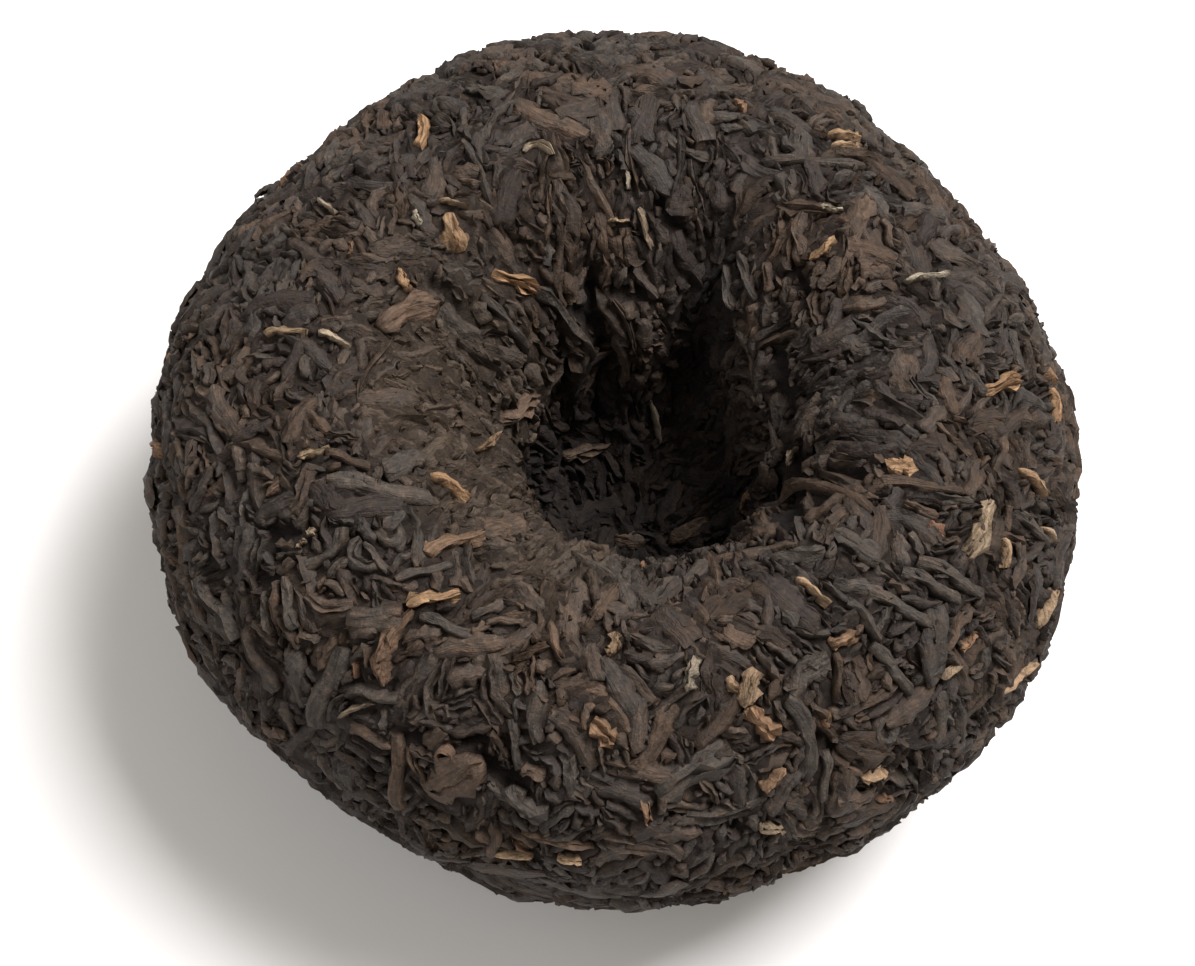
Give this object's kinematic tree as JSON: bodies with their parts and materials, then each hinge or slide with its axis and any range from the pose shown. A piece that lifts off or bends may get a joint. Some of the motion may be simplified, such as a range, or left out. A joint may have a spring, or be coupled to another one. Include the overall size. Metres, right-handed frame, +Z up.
{
  "type": "pressed tea cake",
  "caption": "Bowl-shaped cake of pressed dark tea leaf, domed below with a thick rounded rim and a deep funnel-shaped hollow; leaf is broken off it for brewing.",
  "frame": {"origin": "on the ground below the middle of the cake, which lies on the flat spot of its dome", "axes": "+Z up out of the hollow; +X to the right and +Y away in the picture"},
  "size_m": [0.083, 0.0824, 0.0432],
  "materials": {
    "pressed_leaf": "matte"
  },
  "bodies": {
    "root": {"tea_cake": "pressed_leaf"}
  },
  "joints": []
}
